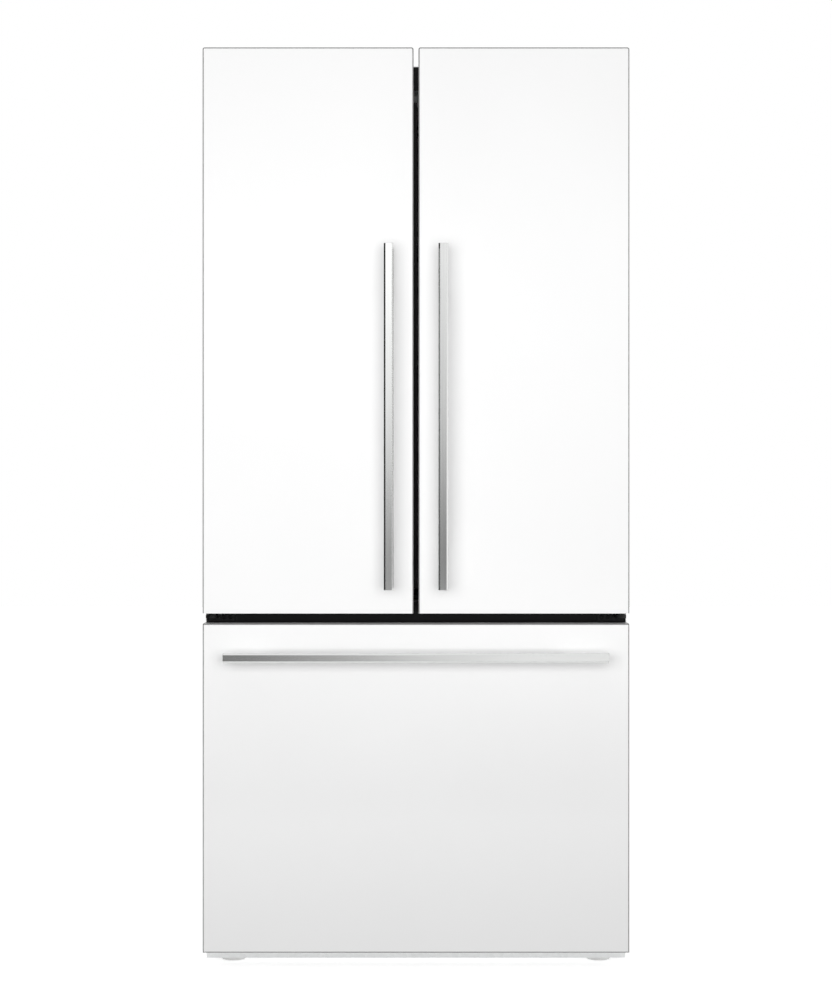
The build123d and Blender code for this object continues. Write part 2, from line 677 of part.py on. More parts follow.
# ---- handles ----
def bevelled_bar(x, z):
    """A square-ended bar whose two long front edges are bevelled."""
    bar = block(x, (Y_HANDLE, Y_HANDLE + BAR_DEPTH), z)
    along = Axis.X if x[1] - x[0] > z[1] - z[0] else Axis.Z
    return chamfer(front_edges(bar, along), BAR_BEVEL)


def post_outline(end, inward):
    """Corners of a tapered post in (position along the bar, y), from the bar's end inward."""
    far = end + inward * POST_LENGTH
    return [
        (end, Y_HANDLE + BAR_DEPTH),
        (far, Y_HANDLE + BAR_DEPTH),
        (far - inward * POST_TAPER, Y_FRONT),
        (end, Y_FRONT),
    ]


def left_handle():
    x = (-DOOR_HANDLE_X - BAR_WIDTH / 2, -DOOR_HANDLE_X + BAR_WIDTH / 2)
    solids = bevelled_bar(x, DOOR_HANDLE_Z).solids()
    post_x = (-DOOR_HANDLE_X - POST_WIDTH / 2, -DOOR_HANDLE_X + POST_WIDTH / 2)
    for end, inward in ((DOOR_HANDLE_Z[0], 1), (DOOR_HANDLE_Z[1], -1)):
        outline = [(y, z) for z, y in post_outline(end, inward)]
        solids += side_profile(outline, post_x).solids()
    return Compound(solids)


def drawer_handle():
    z = (DRAWER_HANDLE_Z - BAR_WIDTH / 2, DRAWER_HANDLE_Z + BAR_WIDTH / 2)
    solids = bevelled_bar((-DRAWER_HANDLE_HALF, DRAWER_HANDLE_HALF), z).solids()
    for side in (-1, 1):
        outline = post_outline(side * DRAWER_HANDLE_HALF, -side)
        face = Plane.XY.offset(DRAWER_HANDLE_Z - POST_WIDTH / 2) * make_face(
            Polyline(*outline, close=True)
        )
        solids += extrude(face, POST_WIDTH).solids()
    return Compound(solids)


# ---- freezer drawer ----
def drawer_skin():
    """Folded front sheet with a return on all four sides."""
    body = block((-HALF, HALF), (Y_FRONT, Y_DOOR_BACK), (Z_DRAWER, Z_DRAWER_TOP))
    body = fillet(body.faces().sort_by(Axis.Y)[0].edges(), EDGE_RADIUS)
    inside = block(
        (-HALF + SKIN, HALF - SKIN),
        (Y_FRONT + SKIN, Y_DOOR_BACK + 1),
        (Z_DRAWER + SKIN, Z_DRAWER_TOP - SKIN),
    )
    return body - fillet(inside.faces().sort_by(Axis.Y)[0].edges(), EDGE_RADIUS - SKIN)


def drawer_liner():
    x = (-HALF + SKIN, HALF - SKIN)
    z = (Z_DRAWER + SKIN, Z_DRAWER_TOP - SKIN)
    ridge_x = (-DRAWER_RIDGE_X, DRAWER_RIDGE_X)
    return door_liner(x, z, ridge_x, DRAWER_RIDGE_Z, DRAWER_RIDGE_REACH)


def drawer_foam():
    slab = block(
        (-HALF + SKIN, HALF - SKIN),
        (Y_FRONT + SKIN, Y_DOOR_BACK - DOOR_LINER),
        (Z_DRAWER + SKIN, Z_DRAWER_TOP - SKIN),
    )
    slab = fillet(slab.faces().sort_by(Axis.Y)[0].edges(), EDGE_RADIUS - SKIN)
    frame = ridge((-DRAWER_RIDGE_X, DRAWER_RIDGE_X), DRAWER_RIDGE_Z, DRAWER_RIDGE_REACH, DOOR_LINER)
    return slab + frame


def drawer_gasket():
    x = (-HINGE_X + 3, HINGE_X - 3)
    return ring(x, (Y_DOOR_BACK, Y_CABINET - CLEAR), (70, Z_DRAWER_TOP - 2), SEAL_WIDTH)


def channel(x, z, opening):
    """A C-section slide member whose web is at the outer x and whose flanges reach to opening."""
    web = block((x, x + SLIDE_SHEET), SLIDE_Y, z)
    low = block((x, opening), SLIDE_Y, (z[0], z[0] + SLIDE_SHEET))
    high = block((x, opening), SLIDE_Y, (z[1] - SLIDE_SHEET, z[1]))
    return web + low + high


def cabinet_slides():
    return both_sides(channel(-FREEZER_HALF, SLIDE_Z, -FREEZER_HALF + 12))


def middle_slides():
    gap = SLIDE_SHEET + 0.5
    z = (SLIDE_Z[0] + gap, SLIDE_Z[1] - gap)
    return both_sides(channel(-FREEZER_HALF + gap, z, -FREEZER_HALF + 12))


def drawer_frame():
    """On each side: an inner slide member, the arm it carries and the foot that meets the front."""
    gap = 2 * (SLIDE_SHEET + 0.5)
    z = (SLIDE_Z[0] + gap, SLIDE_Z[1] - gap)
    runner = block((-FREEZER_HALF + gap, -ARM_X + 0.5), SLIDE_Y, z)
    ridge_back = Y_DOOR_BACK + DRAWER_RIDGE_REACH
    arm = block((-ARM_X, -ARM_X + ARM_SHEET), (ridge_back, SLIDE_Y[1]), ARM_Z)
    tab = block((-ARM_X, -ARM_X + 22), (ridge_back, ridge_back + ARM_SHEET), ARM_Z)
    return both_sides(runner + arm + tab)


def freezer_bin():
    """Deep basket whose rim hangs on the drawer's arms."""
    body = tub((-BASKET_HALF, BASKET_HALF), BASKET_Y, BASKET_Z, LINER, 16.0)
    for side in (-1, 1):
        x = sorted((side * (BASKET_HALF - 2), side * ARM_X))
        body += block(x, (-190, 90), (ARM_Z[1], BASKET_Z[1]))
    return body


def freezer_tray():
    """Shallow half-depth tray that slides on the basket's rim."""
    z = (BASKET_Z[1] + CLEAR, TRAY_TOP)
    body = tub((-TRAY_HALF, TRAY_HALF), TRAY_Y, z, BIN_WALL, 12.0)
    for side in (-1, 1):
        x = sorted((side * (TRAY_HALF - 1), side * (BASKET_HALF + 2)))
        body += block(x, (TRAY_Y[0] + 16, TRAY_Y[1] - 16), (z[0], z[0] + 5))
    return body


def group(shapes):
    return Compound([solid for shape in shapes for solid in shape.solids()])


def mirrored(shape):
    return group([mirror(shape, about=Plane.YZ)])


def parts():
    """Every sub-part by name."""
    made = {
        "left_side_panel": left_side_panel(),
        "right_side_panel": mirrored(left_side_panel()),
        "top_panel": top_panel(),
        "back_panel": back_panel(),
        "base_pan": base_pan(),
        "face_frame": face_frame(),
        "cabinet_foam": cabinet_foam(),
        "fridge_liner": fridge_liner(),
        "freezer_liner": freezer_liner(),
        "top_hinges": both_sides(left_top_hinge()),
        "centre_hinges": both_sides(left_centre_hinge()),
        "hinge_covers": both_sides(left_hinge_cover()),
        "shelf_panes": group(shelf_pane(top) for top in SHELF_TOPS),
        "shelf_trims": group(shelf_trim(top) for top in SHELF_TOPS),
        "left_crisper": left_crisper(),
        "right_crisper": mirrored(left_crisper()),
        "air_duct": air_duct(),
        "control_panel": control_panel(),
        "warmer_button": button(-34),
        "cooler_button": button(34),
        "lamp_lens": lamp_lens(),
        "compressor": compressor(),
        "compressor_grommets": compressor_grommets(),
        "condenser": condenser(),
        "condenser_fan_frame": condenser_fan_frame(),
        "condenser_fan_rotor": condenser_fan_rotor(),
        "drain_pan": drain_pan(),
        "compressor_cover": compressor_cover(),
        "cord_gland": cord_gland(),
        "evaporator": evaporator(),
        "evaporator_fan_rotor": evaporator_fan_rotor(),
        "freezer_back_cover": freezer_back_cover(),
        "left_foot": foot(-1),
        "right_foot": foot(1),
        "rear_rollers": rear_rollers(),
        "cabinet_slides": cabinet_slides(),
        "middle_slides": middle_slides(),
        "left_door_skin": left_door_skin(),
        "left_door_caps": left_door_caps(),
        "left_door_liner": left_door_liner(),
        "left_door_foam": left_door_foam(),
        "left_door_gasket": left_door_gasket(),
        "left_door_bins": left_door_bins(),
        "left_handle": left_handle(),
        "mullion_flap": mullion_flap(),
        "right_door_skin": mirrored(left_door_skin()),
        "right_door_caps": mirrored(left_door_caps()),
        "right_door_liner": mirrored(upper_door_liner()),
        "right_door_foam": mirrored(left_door_foam()),
        "right_door_gasket": mirrored(left_door_gasket()),
        "right_door_bins": mirrored(left_door_bins()),
        "right_handle": mirrored(left_handle()),
        "drawer_skin": drawer_skin(),
        "drawer_liner": drawer_liner(),
        "drawer_foam": drawer_foam(),
        "drawer_gasket": drawer_gasket(),
        "drawer_handle": drawer_handle(),
        "drawer_frame": drawer_frame(),
        "freezer_bin": freezer_bin(),
        "freezer_tray": freezer_tray(),
    }
    return made


def main():
    os.makedirs("parts", exist_ok=True)
    for name, shape in parts().items():
        export_step(shape, f"parts/{name}.step")


main()
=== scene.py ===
"""Looks for a french door refrigerator: finishes for its CAD parts, and the fine pieces round them.

The file is laid out as a Blender add-on and is run as a script. Lengths are in metres. The front
faces -Y, +X is to the right seen from the front, and the floor is z = 0.
"""

import json

import bpy
import numpy as np
from bpy.props import FloatProperty, FloatVectorProperty, PointerProperty
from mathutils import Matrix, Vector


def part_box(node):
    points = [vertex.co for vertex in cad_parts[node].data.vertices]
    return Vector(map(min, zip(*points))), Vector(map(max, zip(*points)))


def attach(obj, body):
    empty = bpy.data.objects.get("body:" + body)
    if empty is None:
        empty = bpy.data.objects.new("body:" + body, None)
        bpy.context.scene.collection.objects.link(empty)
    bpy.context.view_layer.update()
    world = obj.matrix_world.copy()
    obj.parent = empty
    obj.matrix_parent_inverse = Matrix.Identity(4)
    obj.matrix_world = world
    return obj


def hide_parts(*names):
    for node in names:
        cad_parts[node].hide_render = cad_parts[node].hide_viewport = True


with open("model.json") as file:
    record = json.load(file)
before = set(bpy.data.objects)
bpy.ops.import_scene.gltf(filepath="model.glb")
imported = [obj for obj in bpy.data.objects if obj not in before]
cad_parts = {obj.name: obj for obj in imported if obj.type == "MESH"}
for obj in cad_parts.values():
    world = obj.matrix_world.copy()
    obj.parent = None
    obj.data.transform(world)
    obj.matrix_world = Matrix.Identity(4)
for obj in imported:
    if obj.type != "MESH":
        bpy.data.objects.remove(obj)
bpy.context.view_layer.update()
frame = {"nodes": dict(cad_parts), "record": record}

bl_info = {
    "name": "French Door Refrigerator",
    "version": (1, 0, 0),
    "blender": (4, 5, 0),
    "location": "View3D > Sidebar > Refrigerator",
    "description": "Builds the finishes and fine pieces of a french door refrigerator",
    "category": "Add Mesh",
}

MM = 0.001
Y_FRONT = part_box("left_door_skin")[0].y


# ---- settings a user would change ----
class EnamelSettings(bpy.types.PropertyGroup):
    """The painted outer panels."""

    colour: FloatVectorProperty(
        name="Colour", description="Paint colour", subtype="COLOR", size=3,
        default=(0.87, 0.87, 0.87), min=0, max=1,
    )
    roughness: FloatProperty(
        name="Roughness", description="Blur of the paint's gloss", default=0.24, min=0, max=1
    )
    peel_size: FloatProperty(
        name="Ripple size", description="Width of one ripple in the sprayed paint",
        default=3.2 * MM, unit="LENGTH",
    )


class SteelSettings(bpy.types.PropertyGroup):
    """The brushed handles."""

    colour: FloatVectorProperty(
        name="Colour", description="Steel colour", subtype="COLOR", size=3,
        default=(0.62, 0.625, 0.62), min=0, max=1,
    )
    roughness: FloatProperty(
        name="Roughness", description="Blur of the steel's gloss", default=0.13, min=0, max=1
    )
    line_width: FloatProperty(
        name="Line width", description="Width of one brushed line", default=0.35 * MM, unit="LENGTH"
    )
    bevel: FloatProperty(
        name="Bevel", description="Width of a bar's long front bevels", default=3.0 * MM, unit="LENGTH"
    )
    ease: FloatProperty(
        name="Edge radius", description="Rounding of the bar's edges", default=0.45 * MM, unit="LENGTH"
    )


class PlasticSettings(bpy.types.PropertyGroup):
    """The moulded parts inside and out."""

    liner_colour: FloatVectorProperty(
        name="Liner colour", description="Colour of the inner liners", subtype="COLOR", size=3,
        default=(0.84, 0.85, 0.86), min=0, max=1,
    )
    # The trim is a real black part, and its black is also taken darker than black plastic, as painted
    # shade in the gaps between the doors and the drawer.
    trim_and_gap_shade_colour: FloatVectorProperty(
        name="Trim colour", description="Colour of the black trim", subtype="COLOR", size=3,
        default=(0.0035, 0.0035, 0.0038), min=0, max=1,
    )
    seal_fold: FloatProperty(
        name="Seal fold", description="Depth of the folds in a door seal", default=2.6 * MM,
        unit="LENGTH",
    )


class StudioSettings(bpy.types.PropertyGroup):
    """The camera, the floor and the lights."""

    distance: FloatProperty(
        name="Camera distance", description="From the camera to the doors", default=4.0,
        unit="LENGTH",
    )
    height: FloatProperty(
        name="Camera height", description="Height of the camera", default=0.868, unit="LENGTH"
    )
    view_height: FloatProperty(
        name="View height", description="Height that the view takes in at the doors",
        default=1.85, unit="LENGTH",
    )
    key_power: FloatProperty(
        name="Key", description="Power of the front softbox in watts", default=98.0, min=0
    )
    fill_power: FloatProperty(
        name="Fill", description="Strength of the room's light", default=0.42, min=0
    )
    scrim: FloatProperty(
        name="Scrim", description="Share of the key that the low scrim holds back", default=0.36,
        min=0, max=1,
    )


class HardwareSettings(bpy.types.PropertyGroup):
    """Screws, louvres and rails."""

    head_radius: FloatProperty(
        name="Screw head", description="Radius of a screw's head", default=4.2 * MM, unit="LENGTH"
    )
    head_height: FloatProperty(
        name="Head height", description="Height of a screw's head", default=2.2 * MM, unit="LENGTH"
    )
    hood_depth: FloatProperty(
        name="Louvre depth", description="How far a louvre stands out of the rear cover",
        default=3.4 * MM, unit="LENGTH",
    )
    rail_radius: FloatProperty(
        name="Rail radius", description="Radius of the rim rail of a door bin",
        default=2.1 * MM, unit="LENGTH",
    )


SETTINGS = {
    "fridge_hardware": HardwareSettings,
    "fridge_enamel": EnamelSettings,
    "fridge_steel": SteelSettings,
    "fridge_plastic": PlasticSettings,
    "fridge_studio": StudioSettings,
}


# ---- meshes ----
def surface(points, wrap=(False, False), caps=False):
    """Vertices and faces of a grid of points: neighbours along both grid directions make quads."""
    rows, columns = points.shape[:2]
    index = np.arange(rows * columns).reshape(rows, columns)
    ends = [index[0, ::-1].tolist(), index[-1].tolist()] if caps else []
    if wrap[0]:
        index = np.vstack([index, index[:1]])
    if wrap[1]:
        index = np.hstack([index, index[:, :1]])
    corners = [index[:-1, :-1], index[1:, :-1], index[1:, 1:], index[:-1, 1:]]
    quads = np.stack(corners, axis=-1).reshape(-1, 4)
    return points.reshape(-1, 3), quads.tolist() + ends


def outward(vertices, faces):
    """The same faces, turned over if the volume they enclose comes out negative."""
    volume = 0.0
    for sides in {len(face) for face in faces}:
        corner = vertices[np.array([face for face in faces if len(face) == sides])]
        fan = np.cross(corner[:, 1:-1], corner[:, 2:])
        volume += np.einsum("ik,ijk->", corner[:, 0], fan)
    return faces if volume > 0 else [face[::-1] for face in faces]


def add_piece(name, sheets, material, body, smooth=True, replaces=()):
    """One object made of several closed sheets, which rides on a body."""
    vertices, faces, start = [], [], 0
    for points, skin in sheets:
        vertices.append(points)
        faces += [[start + i for i in face] for face in outward(points, skin)]
        start += len(points)
    mesh = bpy.data.meshes.new(name)
    mesh.from_pydata(np.concatenate(vertices).tolist(), [], faces)
    mesh.validate()
    mesh.materials.append(material)
    if smooth:
        mesh.shade_smooth()
        mesh.set_sharp_from_angle(angle=np.radians(38))
    piece = bpy.data.objects.new(name, mesh)
    bpy.context.scene.collection.objects.link(piece)
    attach(piece, body)
    if replaces:
        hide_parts(*replaces)
    return piece


def eased_loop(corners, radius, steps=4):
    """A closed outline whose corners are rounded: each corner is a quadratic curve that starts
    and ends one radius away from it along its two sides."""
    corner = np.array(corners, float)
    before = np.roll(corner, 1, axis=0) - corner
    after = np.roll(corner, -1, axis=0) - corner
    before *= radius / np.linalg.norm(before, axis=1, keepdims=True)
    after *= radius / np.linalg.norm(after, axis=1, keepdims=True)
    t = np.linspace(0, 1, steps + 1)[None, :, None]
    corner, before, after = corner[:, None], before[:, None], after[:, None]
    return (corner + before * (1 - t) ** 2 + after * t**2).reshape(-1, 2)


def extruded(loop, low, high, ease, place, steps=3):
    """A closed outline carried straight from low to high, with both ends eased: near an end the
    outline shrinks by ease * (1 - sin a) while it moves ease * (1 - cos a), for a from 0 to 90
    degrees. place turns (along, across, deep) arrays into points."""
    angle = np.radians(np.linspace(0, 90, steps + 1))
    inset = ease * (1 - np.sin(angle))
    move = ease * (1 - np.cos(angle))
    along = np.concatenate([low + move, (high - move)[::-1]])
    inset = np.concatenate([inset, inset[::-1]])
    middle = (loop.min(0) + loop.max(0)) / 2
    half = (loop.max(0) - loop.min(0)) / 2
    scale = 1 - inset[:, None] / half
    flat = middle + (loop - middle)[None] * scale[:, None, :]
    along = np.broadcast_to(along[:, None], flat.shape[:2])
    points = np.stack(place(along, flat[..., 0], flat[..., 1]), axis=-1)
    return surface(points, wrap=(False, True), caps=True)


def smooth_path(points, radius, steps=8):
    """An open line whose inner corners are rounded: each is a quadratic curve that starts and
    ends one radius away from the corner along its two sides."""
    line = np.array(points, float)
    corner, before, after = line[1:-1], line[:-2] - line[1:-1], line[2:] - line[1:-1]
    before = before * radius / np.linalg.norm(before, axis=1, keepdims=True)
    after = after * radius / np.linalg.norm(after, axis=1, keepdims=True)
    t = np.linspace(0, 1, steps + 1)[None, :, None]
    curves = corner[:, None] + before[:, None] * (1 - t) ** 2 + after[:, None] * t**2
    return np.vstack([line[:1], curves.reshape(-1, 3), line[-1:]])


def carried(path, loop, up=(0.0, 0.0, 1.0)):
    """A closed outline (side, up) carried along an open path. At each point the side axis is the
    path's direction crossed with up."""
    direction = np.gradient(path, axis=0)
    direction /= np.linalg.norm(direction, axis=1, keepdims=True)
    side = np.cross(direction, np.array(up))
    side /= np.linalg.norm(side, axis=1, keepdims=True)
    rise = np.cross(side, direction)
    points = path[:, None] + side[:, None] * loop[None, :, :1] + rise[:, None] * loop[None, :, 1:]
    return surface(points, wrap=(False, True), caps=True)


def circle(radius, steps=16):
    """Points evenly round a circle about the origin."""
    angle = np.linspace(0, 2 * np.pi, steps, endpoint=False)
    return radius * np.column_stack([np.cos(angle), np.sin(angle)])


# ---- materials ----
class Value:
    """A shader socket that takes part in arithmetic. Each operator adds one Math node."""

    def __init__(self, tree, socket):
        self.tree = tree
        self.socket = socket

    def math(self, operation, *others):
        node = self.tree.nodes.new("ShaderNodeMath")
        node.operation = operation
        for slot, item in zip(node.inputs, others):
            if isinstance(item, Value):
                self.tree.links.new(item.socket, slot)
            else:
                slot.default_value = item
        return Value(self.tree, node.outputs[0])

    def __add__(self, other):
        return self.math("ADD", self, other)

    def __radd__(self, other):
        return self.math("ADD", other, self)

    def __sub__(self, other):
        return self.math("SUBTRACT", self, other)

    def __rsub__(self, other):
        return self.math("SUBTRACT", other, self)

    def __mul__(self, other):
        return self.math("MULTIPLY", self, other)

    def __rmul__(self, other):
        return self.math("MULTIPLY", other, self)


class Finish:
    """A material whose Principled shader takes constants on its sockets, and nodes from add."""

    def __init__(self, name, colour, roughness, metallic=0.0, **constants):
        self.material = bpy.data.materials.new(f"finish_{name}")
        self.material.use_nodes = True
        self.tree = self.material.node_tree
        self.shader = self.tree.nodes["Principled BSDF"]
        fixed = {"Base Color": (*colour, 1), "Roughness": roughness, "Metallic": metallic}
        for key, value in {**fixed, **constants}.items():
            self.shader.inputs[key].default_value = value

    def add(self, kind, settings=None, output=0, **inputs):
        """Any node: its type, its settings, then the values or links of its sockets, which are
        named, or numbered as i0, i1 and so on."""
        node = self.tree.nodes.new(kind)
        for key, value in (settings or {}).items():
            setattr(node, key, value)
        for key, value in inputs.items():
            numbered = key[0] == "i" and key[1:].isdigit()
            socket = node.inputs[int(key[1:]) if numbered else key.replace("_", " ")]
            if isinstance(value, Value):
                self.tree.links.new(value.socket, socket)
            else:
                socket.default_value = value
        return Value(self.tree, node.outputs[output])

    def place(self, scale=(1, 1, 1)):
        """Object coordinates, with each axis scaled."""
        where = self.add("ShaderNodeTexCoord", output=3)
        return self.add("ShaderNodeMapping", Vector=where, Scale=scale)

    def noise(self, size, detail=2.0, stretch=(1, 1, 1)):
        """Noise whose ripples are about size wide, stretched along each axis."""
        scale = tuple(1 / (size * s) for s in stretch)
        return self.add(
            "ShaderNodeTexNoise", Vector=self.place(scale), Scale=1.0, Detail=detail, Roughness=0.55
        )

    def colour(self, mask, low, high):
        """Base Color that turns from low to high as mask goes from 0 to 1. Each end is a colour,
        or the colour that an earlier call gave."""
        ends = [end if isinstance(end, Value) else (*end, 1) for end in (low, high)]
        mixed = self.add(
            "ShaderNodeMix", {"data_type": "RGBA"}, output=2, i0=mask, i6=ends[0], i7=ends[1]
        )
        self.link("Base Color", mixed)
        return mixed

    def paint_fold_shade(self, tone, shade_colour, shade_amount):
        """Painted shade: darkens a tone where the surface is folded between the front and a side, in
        place of the shading of the rounded edge. With n the normal's depth, the mask is 4 n^2 (1 -
        n^2)."""
        facing = self.add("ShaderNodeNewGeometry", output=1)
        depth = self.add("ShaderNodeSeparateXYZ", output=1, Vector=facing)
        squared = depth * depth
        # painted shade: the folded edges turn towards the dark colour in place of their shading
        self.colour(shade_amount * 4.0 * squared * (1.0 - squared), tone, shade_colour)

    def bump(self, height, distance, strength=1.0):
        """Relief whose full height is distance, in metres."""
        normal = self.add(
            "ShaderNodeBump", Height=height, Distance=distance, Strength=strength
        )
        self.link("Normal", normal)

    def link(self, socket, value):
        self.tree.links.new(value.socket, self.shader.inputs[socket])


def shade(colour, factor):
    """A colour made darker or lighter by a factor, up to white."""
    return tuple(min(1.0, c * factor) for c in colour)


def enamel(name, colour, roughness, ripple, relief, fold=0.0):
    """Sprayed and baked paint: fine ripples, faint clouds of tone and of gloss, and painted shade that
    darkens it where the sheet is folded, in place of the shading of the rounded edges."""
    look = Finish(name, colour, roughness, **{"Coat Weight": 0.35, "Coat Roughness": 0.08})
    clouds = look.noise(0.22, detail=3.0)
    tone = look.colour(clouds, shade(colour, 0.985), shade(colour, 1.01))
    # painted shade on the folded edges, down to a tenth of the paint's colour
    look.paint_fold_shade(tone, shade(colour, 0.10), fold)
    look.link("Roughness", roughness + (look.noise(0.035, detail=4.0) - 0.5) * 0.10)
    ripples = look.noise(ripple, detail=1.0) + 0.25 * look.noise(ripple / 4, detail=1.0)
    look.bump(ripples, relief, 0.6)
    return look.material


def brushed(name, colour, roughness, line, along):
    """Brushed steel: long scratches along one axis in the relief, the gloss and the tone."""
    look = Finish(name, colour, roughness, metallic=1.0)
    stretch = tuple(260.0 if axis == along else 1.0 for axis in "xyz")
    fine = look.noise(line, detail=4.0, stretch=stretch)
    broad = look.noise(line * 6, detail=2.0, stretch=tuple(s * 0.6 + 0.4 for s in stretch))
    look.colour(0.7 * fine + 0.3 * broad, shade(colour, 0.86), shade(colour, 1.12))
    look.link("Roughness", roughness - 0.03 + 0.06 * broad)
    look.bump(fine, 0.012 * MM, 0.6)
    return look.material


def moulded(name, colour, roughness, grain=0.7 * MM, relief=0.02 * MM, fold=0.0, **constants):
    """Moulded plastic: a spark-eroded grain, with slow clouds of tone and gloss. fold paints shade on
    the rounded edges, darkening them in place of their shading."""
    look = Finish(name, colour, roughness, **constants)
    clouds = look.noise(0.16, detail=2.0)
    tone = look.colour(clouds, shade(colour, 0.985), shade(colour, 1.012))
    if fold:
        # painted shade on the rounded edges, down to a tenth of the plastic's colour
        look.paint_fold_shade(tone, shade(colour, 0.10), fold)
    fine = look.noise(grain, detail=3.0)
    look.link("Roughness", roughness - 0.05 + 0.10 * clouds)
    look.bump(fine, relief, 0.5)
    return look.material


def rubber(name, colour):
    """Extruded rubber: matt, with long faint die lines and a dusty bloom."""
    look = Finish(name, colour, 0.62, **{"Sheen Weight": 0.25, "Sheen Roughness": 0.5})
    dust = look.noise(0.012, detail=5.0)
    look.colour(dust, shade(colour, 0.7), tuple(c + 0.012 for c in colour))
    look.link("Roughness", 0.52 + 0.22 * dust)
    look.bump(look.noise(0.5 * MM, detail=3.0), 0.03 * MM, 0.6)
    return look.material


def plated(name, colour):
    """Hot-dipped steel: flat crystals of slightly different tone and gloss."""
    look = Finish(name, colour, 0.38, metallic=0.7)
    where = look.place((130, 130, 130))
    crystal = look.add("ShaderNodeTexVoronoi", output=1, Vector=where, Scale=1.0)
    tone = look.add("ShaderNodeSeparateColor", Color=crystal)
    look.colour(tone, shade(colour, 0.95), shade(colour, 1.04))
    look.link("Roughness", 0.33 + 0.10 * tone)
    look.bump(look.noise(1.5 * MM, detail=2.0), 0.02 * MM, 0.4)
    return look.material


def painted(name, colour, roughness):
    """Dipped black or grey paint on steel parts, with a fine texture."""
    look = Finish(name, colour, roughness, **{"Specular IOR Level": 0.3})
    dust = look.noise(0.02, detail=5.0)
    look.colour(dust, shade(colour, 0.75), tuple(c + 0.003 for c in colour))
    look.link("Roughness", roughness - 0.08 + 0.18 * dust)
    look.bump(look.noise(0.9 * MM, detail=3.0), 0.05 * MM, 0.5)
    return look.material


def clear(name, colour, roughness, index, ribs):
    """Clear plastic or glass, with faint flow lines from the mould."""
    look = Finish(name, colour, roughness, IOR=index, **{"Transmission Weight": 0.92})
    flow = look.noise(0.03, detail=2.0, stretch=(4, 1, 1))
    look.colour(flow, shade(colour, 0.97), colour)
    look.link("Roughness", roughness + 0.05 * look.noise(0.01, detail=4.0))
    look.bump(flow, ribs, 0.3)
    return look.material


def foamed(name, colour):
    """Rigid foam: closed cells, with a darker skin where they burst."""
    look = Finish(name, colour, 0.85)
    cells = look.add("ShaderNodeTexVoronoi", Vector=look.place((900, 900, 900)), Scale=1.0)
    look.colour(cells, shade(colour, 0.7), colour)
    look.bump(cells, 0.3 * MM, 0.6)
    return look.material


def prismatic(name, colour):
    """A frosted lens with soft prisms."""
    look = Finish(name, colour, 0.35)
    prisms = look.noise(4 * MM, detail=0.0)
    look.colour(prisms, shade(colour, 0.95), colour)
    look.bump(prisms, 0.3 * MM, 0.4)
    return look.material


def make_finishes():
    """Every finish by its slot in the record."""
    scene = bpy.context.scene
    paint, steel, plastic = scene.fridge_enamel, scene.fridge_steel, scene.fridge_plastic
    trim, liner = tuple(plastic.trim_and_gap_shade_colour), tuple(plastic.liner_colour)
    white = tuple(paint.colour)
    coat = {"Coat Weight": 0.2, "Coat Roughness": 0.1}
    return {
        # the doors' folded edges get the full painted shade
        "door_enamel": enamel("door_enamel", white, paint.roughness, paint.peel_size, 0.025 * MM, 1.0),
        "cabinet_paint": enamel("cabinet_paint", shade(white, 0.95), 0.42, 2.2 * MM, 0.06 * MM),
        "handle_steel": brushed(
            "handle_steel", tuple(steel.colour), steel.roughness, steel.line_width, "z"
        ),
        "handle_steel_across": brushed(
            "handle_steel_across", tuple(steel.colour), steel.roughness, steel.line_width, "x"
        ),
        "slide_steel": brushed("slide_steel", (0.56, 0.57, 0.58), 0.32, 0.5 * MM, "y"),
        "plated_steel": plated("plated_steel", (0.80, 0.81, 0.81)),
        "foot_steel": plated("foot_steel", (0.70, 0.70, 0.69)),
        # black_trim is near-black, partly as painted shade in the door gaps
        "black_trim": moulded("black_trim", trim, 0.42, **{"Specular IOR Level": 0.2}),
        # The hinges' black paint is real, and it is also taken darker than real, as painted shade so
        # that they sink into the gap's shade.
        "black_steel": painted("black_steel", (0.004, 0.004, 0.0045), 0.45),
        "compressor_paint": painted("compressor_paint", (0.015, 0.015, 0.016), 0.33),
        "condenser_paint": painted("condenser_paint", (0.022, 0.022, 0.023), 0.60),
        "liner_plastic": moulded("liner_plastic", liner, 0.28, 1.4 * MM, 0.015 * MM, **coat),
        # the end caps' rounded edges get the full painted shade
        "cap_plastic": moulded("cap_plastic", shade(white, 0.97), 0.38, fold=1.0),
        "cover_plastic": moulded("cover_plastic", shade(white, 0.95), 0.45, 0.8 * MM, 0.04 * MM),
        "shelf_plastic": moulded("shelf_plastic", (0.78, 0.79, 0.80), 0.30),
        "bin_plastic": moulded("bin_plastic", (0.76, 0.78, 0.80), 0.34),
        "control_plastic": moulded("control_plastic", (0.68, 0.69, 0.70), 0.35),
        "button_plastic": moulded("button_plastic", (0.22, 0.23, 0.24), 0.32),
        "fan_plastic": moulded("fan_plastic", (0.025, 0.025, 0.027), 0.45),
        "roller_nylon": moulded("roller_nylon", (0.72, 0.72, 0.70), 0.45),
        "seal_rubber": rubber("seal_rubber", (0.012, 0.012, 0.013)),
        "damper_rubber": rubber("damper_rubber", (0.015, 0.015, 0.015)),
        "insulation_foam": foamed("insulation_foam", (0.80, 0.66, 0.36)),
        "shelf_glass": clear("shelf_glass", (0.90, 0.98, 0.96), 0.01, 1.52, 0.01 * MM),
        "clear_plastic": clear("clear_plastic", (0.93, 0.97, 0.99), 0.05, 1.49, 0.05 * MM),
        "lamp_plastic": prismatic("lamp_plastic", (1.0, 0.98, 0.94)),
        "fin_aluminium": brushed("fin_aluminium", (0.75, 0.76, 0.77), 0.35, 0.4 * MM, "z"),
    }


def finish_of(name):
    return bpy.data.materials[f"finish_{name}"]


# ---- pieces ----
class FRIDGE_OT_finishes(bpy.types.Operator):
    """Gives every CAD part the finish of its slot"""

    bl_idname = "fridge.finishes"
    bl_label = "Finishes"

    def execute(self, context):
        finishes = make_finishes()
        for part in frame["record"]["subparts"]:
            mesh = frame["nodes"][part["node"]].data
            mesh.materials.clear()
            mesh.materials.append(finishes[part["material_slot"]])
        return {"FINISHED"}


